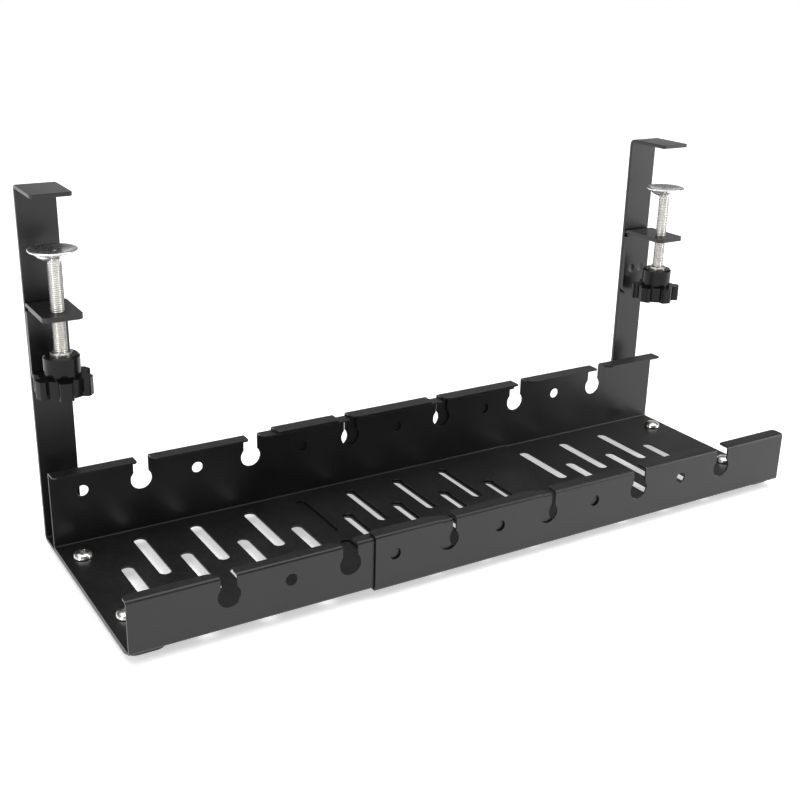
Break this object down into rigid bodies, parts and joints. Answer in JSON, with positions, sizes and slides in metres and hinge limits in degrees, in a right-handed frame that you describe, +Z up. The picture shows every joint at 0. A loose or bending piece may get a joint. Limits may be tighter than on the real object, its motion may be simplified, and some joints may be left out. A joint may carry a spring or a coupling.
{
  "type": "cable tray",
  "caption": "Extendable under-desk cable tray: two telescoping perforated steel channels on clamp brackets with screw-up pressure discs and star knobs.",
  "frame": {"origin": "centre of the whole object's box in plan, at the underside of the right foot's nuts", "axes": "+X along the tray to the wider outer section, +Y to the clamp brackets behind the tall back wall, +Z up"},
  "size_m": [0.5006, 0.1624, 0.233],
  "materials": {
    "black_powder_coat": "satin fine-grained powder coat",
    "zinc_thread": "bright zinc plate on a rolled thread",
    "zinc_insert": "zinc plate, turned",
    "bright_disc": "bright nickel-chrome, pressed and turned",
    "black_plastic": "glossy moulded plastic",
    "zinc_screw": "bright zinc plate",
    "zinc_nut": "bright zinc plate"
  },
  "bodies": {
    "outer_section": {"outer_tray": "black_powder_coat", "right_post": "black_powder_coat", "right_clamp_angle": "black_powder_coat", "right_back_screw": "zinc_screw", "right_front_screw": "zinc_screw", "right_back_nut": "zinc_nut", "right_front_nut": "zinc_nut"},
    "inner_section": {"inner_tray": "black_powder_coat", "left_post": "black_powder_coat", "left_clamp_angle": "black_powder_coat", "left_back_screw": "zinc_screw", "left_front_screw": "zinc_screw", "left_back_nut": "zinc_nut", "left_front_nut": "zinc_nut"},
    "left_disc_lift": {"left_pressure_disc": "bright_disc"},
    "left_screw_turn": {"left_clamp_screw": "zinc_thread", "left_knob": "black_plastic", "left_knob_insert": "zinc_insert"},
    "right_disc_lift": {"right_pressure_disc": "bright_disc"},
    "right_screw_turn": {"right_clamp_screw": "zinc_thread", "right_knob": "black_plastic", "right_knob_insert": "zinc_insert"}
  },
  "joints": [
    {"name": "tray_extend", "type": "slide", "parent": "outer_section", "child": "inner_section", "axis": [-1, 0, 0], "range_m": [-0.125, 0.145]},
    {"name": "left_clamp_lift", "type": "slide", "parent": "inner_section", "child": "left_disc_lift", "axis": [0, 0, 1], "range_m": [-0.03, 0.021]},
    {"name": "left_knob_turn", "type": "hinge", "parent": "left_disc_lift", "child": "left_screw_turn", "pos_m": [-0.23275, 0.05115, 0.2004], "axis": [0, 0, 1], "range_deg": [-8641, 6049]},
    {"name": "right_clamp_lift", "type": "slide", "parent": "outer_section", "child": "right_disc_lift", "axis": [0, 0, 1], "range_m": [-0.03, 0.021]},
    {"name": "right_knob_turn", "type": "hinge", "parent": "right_disc_lift", "child": "right_screw_turn", "pos_m": [0.23275, 0.05115, 0.1989], "axis": [0, 0, 1], "range_deg": [-8641, 6049]}
  ],
  "couplings": [
    {"joint": "left_knob_turn", "follows": "left_clamp_lift", "rad_per_m": 5026.5},
    {"joint": "right_knob_turn", "follows": "right_clamp_lift", "rad_per_m": 5026.5}
  ]
}
